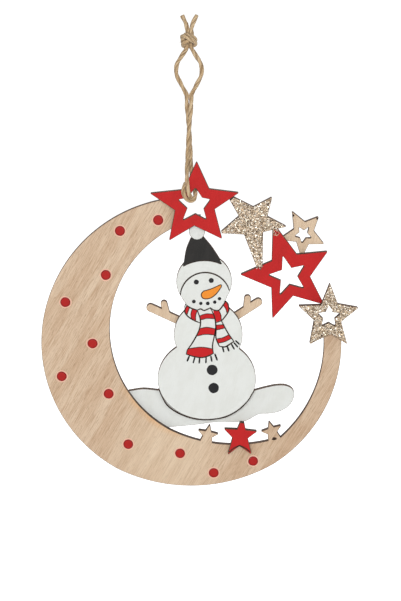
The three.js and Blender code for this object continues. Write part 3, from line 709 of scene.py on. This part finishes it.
def make_twine():
    line = whole_twine()
    frames = carried_frames(line)
    crossings = [
        i for i in range(1, len(line))
        if (line[i - 1].z - LEG_MIDDLE) * (line[i].z - LEG_MIDDLE) < 0
    ]
    low_left, low_right = crossings[0], crossings[-1]
    swing = {"start": row_point(SWING_Z - SWING_BLEND), "end": row_point(SWING_Z + SWING_BLEND)}
    spin = {"start": row_point(SPIN_Z - SPIN_FOOT), "end": row_point(LEG_MIDDLE - SPIN_TOP)}
    eye_bodies, star_bodies = ("twine_legs", "hanging_loop"), ("ornament", "twine_legs")
    spans = (
        ("twine_left_strand", 0, low_left, eye_bodies, swing, low_left, "knot"),
        ("twine_right_strand", low_right, len(line) - 1, eye_bodies, swing, low_right, "knot"),
        ("twine_star_turn", low_left, low_right, star_bodies, spin, low_left, "object"),
    )
    nodes = {
        "twine_left_strand": ("twine_leg_rear", "twine_eye_left", "twine_knot"),
        "twine_right_strand": ("twine_leg_front", "twine_eye_right", "twine_knot"),
        "twine_star_turn": ("twine_round_turn",),
    }
    for number, (name, first, last, (a, b), ends, start, far_end) in enumerate(spans):
        strand = twine_piece(name, line, frames, first, last)
        hairs = twine_hairs(name + "_fibres", line, frames, first, last, number)
        for piece in (strand, hairs):
            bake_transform(piece)
        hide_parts(*nodes[name])


make_twine()


# Wooden pieces: each keeps its own cut outline from the frame, with eased edges


EASE = 0.14  # the rims' rounding
FACE, BACK, WALL = 0, 1, 2  # a sheet's material slots
FLAT = 0.9  # how nearly a face looks forwards or back


def refill_face(bm, side, way):
    """Fills the sheet's front or back afresh inside its eased rim, so that no sliver is folded over."""
    flat = {f for f in bm.faces if f.material_index == side}
    rim = [e for e in bm.edges if sum(f in flat for f in e.link_faces) == 1]
    bmesh.ops.delete(bm, geom=list(flat), context="FACES")
    filled = bmesh.ops.triangle_fill(bm, use_beauty=True, use_dissolve=False, edges=rim, normal=(0, way, 0))
    bm.normal_update()
    for f in filled["geom"]:
        if isinstance(f, bmesh.types.BMFace):
            f.material_index = side
            if f.normal.y * way < 0:
                f.normal_flip()


def sheet_piece(name, node, face):
    bm = bmesh.new()
    bm.from_mesh(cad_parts[node].data)
    bmesh.ops.remove_doubles(bm, verts=bm.verts, dist=1e-6)
    bm.normal_update()
    for f in bm.faces:
        f.material_index = FACE if f.normal.y < -FLAT else BACK if f.normal.y > FLAT else WALL

    def rim(edge):
        if len(edge.link_faces) != 2:
            return False
        flat = [abs(f.normal.y) > FLAT for f in edge.link_faces]
        return flat[0] != flat[1]

    eased = bmesh.ops.bevel(
        bm,
        geom=[e for e in bm.edges if rim(e)],
        offset=EASE * MM,
        segments=2,
        profile=0.5,
        affect="EDGES",
        material=-1,
        clamp_overlap=False,
    )
    for f in eased["faces"]:
        f.material_index = WALL
    refill_face(bm, FACE, -1)
    refill_face(bm, BACK, 1)
    piece = make_piece(name, bm, [face, BACK_WOOD, CUT_EDGE], "ornament")
    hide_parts(node)
    return piece


sheet_piece("moon", "crescent_moon", CRESCENT_WOOD)
sheet_piece("snowman", "snowman_figure", WHITE_PAINT)
sheet_piece("arm_left", "left_twig_arm", ARM_WOOD)
sheet_piece("arm_right", "right_twig_arm", ARM_WOOD)
sheet_piece("drift", "snow_drift", WHITE_PAINT)
sheet_piece("star_top_red", "top_red_star", RED_PAINT)
LARGE_RED = sheet_piece("star_large_red", "large_red_star", RED_PAINT)
sheet_piece("star_natural", "natural_star", STAR_WOOD)
sheet_piece("star_small_red", "small_red_star", RED_PAINT)
LARGE_GLITTER = sheet_piece("star_large_glitter", "large_glitter_star", GLITTER_GROUND)
SMALL_GLITTER = sheet_piece("star_small_glitter", "small_glitter_star", GLITTER_GROUND)


# Glitter: loose flakes pressed into the glue


FLAKE_THICKNESS = 0.22  # of its radius
FLAKE_WEIGHTS = (21, 26, 22, 18, 15)
FLAKE_SIZE = (0.12, 0.19)
FLAKE_LIFT = 0.06
FLAKE_TILT = 0.38


def flake_shape(tone):
    bm = bmesh.new()
    bmesh.ops.create_circle(bm, cap_ends=True, segments=6, radius=1)
    grown = bmesh.ops.extrude_face_region(bm, geom=bm.faces[:])
    top = [g for g in grown["geom"] if isinstance(g, bmesh.types.BMVert)]
    bmesh.ops.translate(bm, verts=top, vec=(0, 0, FLAKE_THICKNESS))
    bmesh.ops.recalc_face_normals(bm, faces=bm.faces)
    for f in bm.faces:
        f.material_index = tone
    mesh = bpy.data.meshes.new(f"flake_{tone}")
    bm.to_mesh(mesh)
    bm.free()
    return mesh


FLAKE_SHAPES = [flake_shape(tone) for tone in range(len(GLITTER_FLAKES))]


def scatter_glitter(name, star, per_square_mm, seed, spill=None):
    """Flakes all over a star's front face, or only in a spill: its middle and its radius in millimetres."""
    draw = random.Random(seed)
    mesh = star.data
    mesh.calc_loop_triangles()
    triangles, areas = [], []
    for t in mesh.loop_triangles:
        if mesh.polygons[t.polygon_index].material_index == FACE:
            triangles.append([mesh.vertices[v].co for v in t.vertices])
            areas.append(t.area)
    count = round(sum(areas) / MM**2 * per_square_mm)
    bm = bmesh.new()
    for a, b, c in draw.choices(triangles, areas, k=count):
        u, v = draw.random(), draw.random()
        if u + v > 1:
            u, v = 1 - u, 1 - v
        spot = a + (b - a) * u + (c - a) * v
        if spill and (spot - at(*spill[0], spot.y / MM)).length > spill[1] * MM:
            continue
        spot.y -= draw.uniform(0.0, FLAKE_LIFT) * MM
        tone = draw.choices(range(len(GLITTER_FLAKES)), FLAKE_WEIGHTS)[0]
        tilt = Matrix.Rotation(draw.uniform(0, 6.28), 4, "Y") @ Matrix.Rotation(
            math.pi / 2 + draw.gauss(0, FLAKE_TILT), 4, "X"
        )
        size = draw.uniform(*FLAKE_SIZE) * MM
        flake = FLAKE_SHAPES[tone].copy()
        flake.transform(Matrix.Translation(spot) @ tilt @ Matrix.Scale(size, 4))
        bm.from_mesh(flake)
        bpy.data.meshes.remove(flake)
    return make_piece(name, bm, GLITTER_FLAKES, "ornament")


scatter_glitter("glitter_on_large_star", LARGE_GLITTER, 13, 31)
scatter_glitter("glitter_on_small_star", SMALL_GLITTER, 13, 32)
scatter_glitter("glitter_spill_top", LARGE_RED, 11, 33, spill=((26.3, 36.7), 1.5))
scatter_glitter("glitter_spill_arm", LARGE_RED, 9, 34, spill=((21.5, 25.3), 1.0))
for shape in FLAKE_SHAPES:
    bpy.data.meshes.remove(shape)


# Red dots on the crescent

DOTS = [
    (-10.3, 40.2), (-22.3, 36.8), (-26.9, 22.7), (-39.8, 13.9), (-31.4, 0.4), (-41.4, -10.4),
    (-26.5, -16.2), (-20.4, -33.1), (-3.7, -36.2), (7.2, -42.8), (19.9, -38.8),
]
DOT_R = 1.6
STAIN_R = DOT_R + 0.38
RIM_FROM = DOT_R - 0.34  # the dot's darker rim starts here
DOT_STEPS = ((0.06, 0.0), (0.05, 0.10), (0.03, 0.22), (0.015, 0.4), (-0.012, 0.3))  # each ring's lift, inset
CIRCLE_POINTS = 40


def dot_outline(number, r, wobble):
    centre = DOTS[number]
    outline = []
    for k in range(CIRCLE_POINTS):
        a = 2 * math.pi * k / CIRCLE_POINTS
        uneven = noise.noise(Vector((math.cos(a) * 1.3, math.sin(a) * 1.3, number * 3.1)))
        outline.append(polar(r * (1 + wobble * uneven), math.degrees(a), centre))
    return outline


def raise_dot(drops, number):
    """A drop of paint, domed in rings, with a slight dip where it dried in the middle."""
    verts = [drops.verts.new(at(*p, MIDDLE_SHEET + SINK)) for p in dot_outline(number, DOT_R, 0.04)]
    face = drops.faces.new(verts)
    middle = at(*DOTS[number], MIDDLE_SHEET)
    for step, (lift, inset) in enumerate(DOT_STEPS):
        grown = bmesh.ops.extrude_face_region(drops, geom=[face])
        front = [g for g in grown["geom"] if isinstance(g, bmesh.types.BMVert)]
        old = face
        face = next(g for g in grown["geom"] if isinstance(g, bmesh.types.BMFace))
        for v in front:
            away = Vector((v.co.x - middle.x, 0, v.co.z - middle.z))
            v.co -= away.normalized() * inset * MM
            v.co.y -= lift * MM
        if step and old.is_valid:
            drops.faces.remove(old)
    bmesh.ops.recalc_face_normals(drops, faces=drops.faces)


def nearest_dot(point):
    return min(math.hypot(point.x - at(*dot).x, point.z - at(*dot).z) for dot in DOTS)


def paint_dots():
    stains, drops = bmesh.new(), bmesh.new()
    for number in range(len(DOTS)):
        film(stains, dot_outline(number, STAIN_R, 0.09), MIDDLE_SHEET, 0.012)
        raise_dot(drops, number)
    bmesh.ops.recalc_face_normals(stains, faces=stains.faces)
    for f in drops.faces:
        f.material_index = 1 if nearest_dot(f.calc_center_median()) > RIM_FROM * MM else 0
    make_piece("dot_stains", stains, [DOT_STAIN], "ornament")
    make_piece("red_dots", drops, [DOT_RED, DOT_RIM], "ornament", smooth=True)


paint_dots()


# Print on the snowman, all on his front face

PRINT = 0.03  # thickness of a printed colour
LINE = 0.045  # the dark lines lie over it

# Widths of the drawn lines
BRIM_LINE = 0.46
HAT_FOOT_LINE = 0.22
NOSE_LINE = 0.3
SCARF_LINE = 0.42
BAND_LINE = 0.27
FRINGE_LINE = 0.54
BELLY_WIDTH = 0.44
STAR_FOOT_LINE = 0.42


def printed(name, outlines, finish, thickness=PRINT, face_y=MIDDLE_SHEET):
    bm = bmesh.new()
    for outline in outlines:
        film(bm, outline, face_y, thickness)
    bmesh.ops.recalc_face_normals(bm, faces=bm.faces)
    return make_piece(name, bm, [finish], "ornament")


def drawn(name, lines, width, finish=LINE_PRINT, face_y=MIDDLE_SHEET, taper=0.7):
    outlines = [ribbon_outline(line, width, seed=n * 1.7, taper=taper) for n, line in enumerate(lines)]
    return printed(name, outlines, finish, LINE, face_y)


HAT_LINE = ((4.11, 14.38), 12.85)
HAT_LEFT = [(-2.67, 25.5), (-2.05, 28.3), (-1.5, 30.8), (-0.87, 32.8), (-0.06, 34.55)]
HAT_RIGHT = [(3.68, 34.85), (5.12, 33.3), (6.48, 31.4), (8.22, 28.9), (9.67, 26.2)]
POMPOM = ((1.79, 36.53), 2.45)


def print_hat():
    under_pompom = arc_line(POMPOM[0], POMPOM[1], 228, 317, 0.4)
    lower = arc_line(HAT_LINE[0], HAT_LINE[1], 65.0, 121.2, 0.5)
    outline = flat_curve(HAT_LEFT) + under_pompom[1:-1] + flat_curve(HAT_RIGHT) + lower[1:-1]
    printed("hat_colour", [outline], HAT_PRINT)


print_hat()
drawn("hat_brim_line", [arc_line((4.39, 15.58), 7.89, 16.0, 175.0, 1.5)], BRIM_LINE)
drawn("hat_foot_line", [arc_line(*HAT_LINE, 66, 120.5, 1.5)], HAT_FOOT_LINE, finish=SCORCH_MARK)

EYES = [((1.6, 20.4), 0.8), ((6.3, 20.9), 0.8)]
MOUTH = [
    ((0.8, 14.1), 0.6), ((3.0, 13.5), 0.55), ((5.2, 13.5), 0.6), ((7.4, 13.9), 0.55), ((8.9, 15.0), 0.55),
]
BUTTONS = [((6.6, -8.3), 1.74), ((7.1, -14.3), 1.7)]


def coal(centre, r, seed):
    return [
        polar(r * (1 + 0.07 * noise.noise(Vector((math.cos(a) * 1.6 + seed, math.sin(a) * 1.6, 0)))),
              math.degrees(a), centre)
        for a in (2 * math.pi * k / 28 for k in range(28))
    ]


printed("coal_eyes", [coal(c, r, 3 + c[0]) for c, r in EYES], COAL_PRINT)
printed("coal_mouth", [coal(c, r, 9 + c[0]) for c, r in MOUTH], COAL_PRINT)
printed("coal_buttons", [coal(c, r, 5 + c[1]) for c, r in BUTTONS], COAL_PRINT)

NOSE_TOP = [(3.15, 15.9), (3.2, 16.6), (3.8, 17.4), (4.8, 17.75), (6.5, 18.3), (8.2, 19.1), (9.3, 19.55)]
NOSE_UNDER = [(9.55, 19.3), (9.0, 18.1), (7.5, 16.2), (6.1, 15.25), (4.6, 14.95), (3.6, 15.2), (3.15, 15.9)]
NOSE = flat_curve(NOSE_TOP + NOSE_UNDER[:-1] + [NOSE_TOP[0]], 0.3)[:-1]
printed("carrot_nose", [NOSE], CARROT_PRINT)
drawn("carrot_outline", [NOSE_TOP + NOSE_UNDER], NOSE_LINE, taper=1.0)

TAIL_LEFT = [
    (2.0, 11.0), (2.8, 8.5), (2.9, 6.8), (2.5, 5.0), (1.5, 2.7), (0.0, 0.1), (-1.3, -1.8), (-1.6, -3.1),
]
TAIL_RIGHT = [(6.1, 11.9), (7.2, 9.5), (7.7, 7.2), (7.7, 5.0), (7.2, 2.4), (6.7, -0.5), (7.0, -2.8)]
TAIL_FOOT = [(-1.6, -3.1), (0.9, -3.9), (3.4, -4.2), (5.6, -3.6), (7.0, -2.8)]
KNOT_TOP = [(1.9, 11.3), (3.0, 11.7), (3.9, 11.2), (4.7, 11.4), (6.1, 12.1)]
NECK_LEFT_END = [(-1.4, 12.8), (-2.1, 11.0), (-1.3, 9.5), (0.6, 8.1), (2.85, 7.1)]
NECK_LEFT_TOP = [(-1.4, 12.8), (0.0, 11.9), (1.9, 11.3)]
NECK_RIGHT_TOP = [(6.1, 12.0), (7.2, 11.3), (8.7, 11.3), (10.1, 13.0), (10.9, 14.3)]
NECK_RIGHT_END = [(10.9, 14.3), (11.75, 12.7), (11.8, 11.1), (10.2, 8.6), (9.5, 7.9), (8.0, 7.3)]
REAR_LEFT = [(7.75, 7.0), (7.8, 5.0), (7.85, 2.1), (8.9, -0.5)]
REAR_RIGHT = [(9.5, 7.9), (10.5, 5.9), (11.7, 3.7), (13.5, 1.1)]
REAR_FOOT = [(8.9, -0.5), (10.7, -0.7), (12.1, 0.1), (13.5, 1.1)]
FRONT_BANDS = [
    ([(2.55, 9.4), (4.6, 10.1), (7.0, 10.0)], [(7.45, 8.5), (5.0, 8.6), (2.85, 8.1)]),
    ([(2.6, 5.3), (5.0, 5.7), (7.65, 5.2)], [(7.3, 3.2), (4.4, 3.4), (1.6, 2.8)]),
    (
        [(-0.95, -1.3), (3.1, -0.8), (6.7, -1.3)],
        [(7.0, -2.8), (5.6, -3.6), (3.4, -4.15), (0.9, -3.85), (-1.6, -3.1)],
    ),
]
REAR_BANDS = [
    ([(7.8, 6.4), (10.2, 6.6)], [(10.75, 5.5), (7.85, 4.8)]),
    ([(7.95, 1.9), (9.9, 2.3), (11.9, 3.3)], [(12.75, 2.1), (10.6, 1.0), (8.55, 0.5)]),
]
NECK_BANDS = [
    [(-1.35, 12.7), (-2.0, 11.0), (-1.4, 9.7), (-1.0, 10.9), (-0.6, 12.2)],
    [(0.3, 11.8), (-0.15, 10.1), (0.0, 8.6), (1.4, 7.8), (1.4, 9.6), (1.85, 11.3)],
    [(6.9, 11.4), (8.7, 11.3), (9.3, 9.7), (9.4, 8.1), (8.0, 7.4), (7.7, 8.0), (7.2, 9.7)],
    [(10.15, 13.0), (10.9, 14.2), (11.7, 12.7), (11.75, 11.2), (11.2, 10.3), (10.9, 11.6)],
]


def band(top, bottom):
    return flat_curve(top) + flat_curve(bottom)


bands = [band(*b) for b in FRONT_BANDS + REAR_BANDS] + NECK_BANDS
printed("scarf_red_bands", bands, SCARF_RED)
drawn(
    "scarf_outline",
    [TAIL_LEFT, TAIL_RIGHT, TAIL_FOOT, KNOT_TOP, NECK_LEFT_END, NECK_LEFT_TOP, NECK_RIGHT_TOP, NECK_RIGHT_END,
     REAR_LEFT, REAR_RIGHT, REAR_FOOT],
    SCARF_LINE,
)
band_edges = [b[0] for b in FRONT_BANDS + REAR_BANDS] + [b[1] for b in FRONT_BANDS[:2] + REAR_BANDS]
band_edges += [
    [(-0.6, 12.1), (-1.0, 10.9), (-1.4, 9.8)],
    [(0.3, 11.7), (-0.15, 10.1), (0.0, 8.5)],
    [(1.9, 11.2), (1.4, 9.6), (1.4, 7.7)],
    [(8.7, 11.3), (9.35, 9.7), (9.5, 8.0)],
    [(10.1, 13.0), (10.95, 11.6), (11.25, 10.4)],
]
drawn("scarf_band_lines", band_edges, BAND_LINE)
FRINGE = [
    ((-0.7, -3.8), (-1.3, -5.3)), ((1.1, -4.1), (0.6, -5.9)), ((2.6, -4.3), (2.5, -6.0)),
    ((4.7, -4.1), (4.6, -5.9)), ((6.2, -3.8), (6.5, -5.4)), ((7.5, -3.1), (8.2, -5.0)),
    ((9.9, -0.7), (10.3, -2.3)), ((11.4, -0.5), (11.9, -2.0)), ((12.8, 0.1), (13.6, -1.4)),
    ((13.6, 0.6), (14.7, -0.7)), ((14.1, 1.3), (15.2, 0.2)),
]
drawn("scarf_fringe", [list(f) for f in FRINGE], FRINGE_LINE, finish=COAL_PRINT, taper=0.8)

BELLY_LINE = [
    (-10.35, -15.0), (-7.85, -19.9), (-4.2, -22.65), (0.4, -24.4), (4.4, -24.85), (7.56, -24.64),
    (10.7, -23.97), (13.3, -22.76), (15.57, -21.15), (17.29, -19.45), (18.56, -17.82), (19.38, -16.28),
    (20.02, -15.29),
]
drawn("belly_line", [BELLY_LINE], BELLY_WIDTH)


# Laser marks on the bare wood, and dark lines along the small red star's feet

BURN = 0.015  # thickness of a scorched spot
BURNS = [((32.0, 41.3), 0.36), ((39.5, 40.3), 0.34)]
tip_burns = [coal(c, r, c[0]) for c, r in BURNS]
printed("star_tip_burns", tip_burns, SCORCH_MARK, BURN, BACK_SHEET)
BURN_EDGE = [(25.8, -31.5), (26.3, -30.8), (27.4, -31.0), (27.3, -31.55), (26.4, -31.75), (25.8, -31.5)]
MOON_BURN = flat_curve(BURN_EDGE, 0.2)
printed("moon_burn", [MOON_BURN[:-1]], SCORCH_MARK, BURN, MIDDLE_SHEET)
# Dark lines along the inner edges of the small red star's feet, in the scorch marks' colour
STAR_FEET = [
    [(12.25, -35.05), (13.4, -33.95), (15.3, -32.95)],
    [(15.5, -32.95), (17.4, -33.9), (18.65, -34.9)],
]
drawn("star_foot_dark_lines", STAR_FEET, STAR_FOOT_LINE, SCORCH_MARK, FRONT_SHEET, 1.0)


# Studio


def lamp(name, location, size, power, target):
    data = bpy.data.lights.new(name, "AREA")
    data.shape = "SQUARE"
    data.size = size
    data.energy = power
    light = bpy.data.objects.new(name, data)
    light.location = location
    light.rotation_euler = (Vector(target) - Vector(location)).to_track_quat("-Z", "Y").to_euler()
    bpy.context.scene.collection.objects.link(light)


def seen_directly(tree):
    """1 for a ray straight from the camera, or one that a mirror or glass sends on."""
    path = tree.nodes.new("ShaderNodeLightPath")
    total = path.outputs["Is Camera Ray"]
    for name in ("Is Glossy Ray", "Is Transmission Ray"):
        both = tree.nodes.new("ShaderNodeMath")
        both.operation = "MAXIMUM"
        tree.links.new(total, both.inputs[0])
        tree.links.new(path.outputs[name], both.inputs[1])
        total = both.outputs[0]
    return total


ROOM_LIGHT = 0.34
FLOOR_DROP = 0.16
FLOOR_R = 12
FLOOR_GLOW = 0.80
SOFTBOXES = (  # place, size and power
    ("softbox_left", (-0.10, -0.98, 0.20), 0.4, 4.6),
    ("softbox_right", (0.30, -0.95, 0.05), 0.7, 1.8),
    ("softbox_back", (0.1, 0.9, 0.5), 0.9, 5.0),
)


def studio():
    world = bpy.data.worlds.new("white_studio")
    bpy.context.scene.world = world
    world.use_nodes = True
    tree = world.node_tree
    background = tree.nodes["Background"]
    background.inputs["Color"].default_value = (1, 1, 1, 1)
    strength = tree.nodes.new("ShaderNodeMapRange")
    strength.inputs["To Min"].default_value = ROOM_LIGHT
    strength.inputs["To Max"].default_value = 1.0
    tree.links.new(seen_directly(tree), strength.inputs["Value"])
    tree.links.new(strength.outputs["Result"], background.inputs["Strength"])

    low = cad_bounds[0][2]
    bm = bmesh.new()
    bmesh.ops.create_circle(bm, cap_ends=True, segments=64, radius=FLOOR_R)
    bmesh.ops.translate(bm, verts=bm.verts, vec=(0, 0, low - FLOOR_DROP))
    mesh = bpy.data.meshes.new("studio_floor")
    bm.to_mesh(mesh)
    bm.free()
    floor = bpy.data.objects.new("studio_floor", mesh)
    bpy.context.scene.collection.objects.link(floor)
    pale = Finish("studio_floor_white", srgb(236, 236, 236), 0.9)
    pale.gloss(0.0)
    glow = pale.times(seen_directly(pale.tree), FLOOR_GLOW)
    pale.shader.inputs["Emission Color"].default_value = (1, 1, 1, 1)
    pale.tree.links.new(glow, pale.shader.inputs["Emission Strength"])
    mesh.materials.append(pale.material)

    for name, place, size, power in SOFTBOXES:
        lamp(name, place, size, power, at(2.9, 10))


studio()
bpy.context.scene.view_settings.view_transform = "Standard"
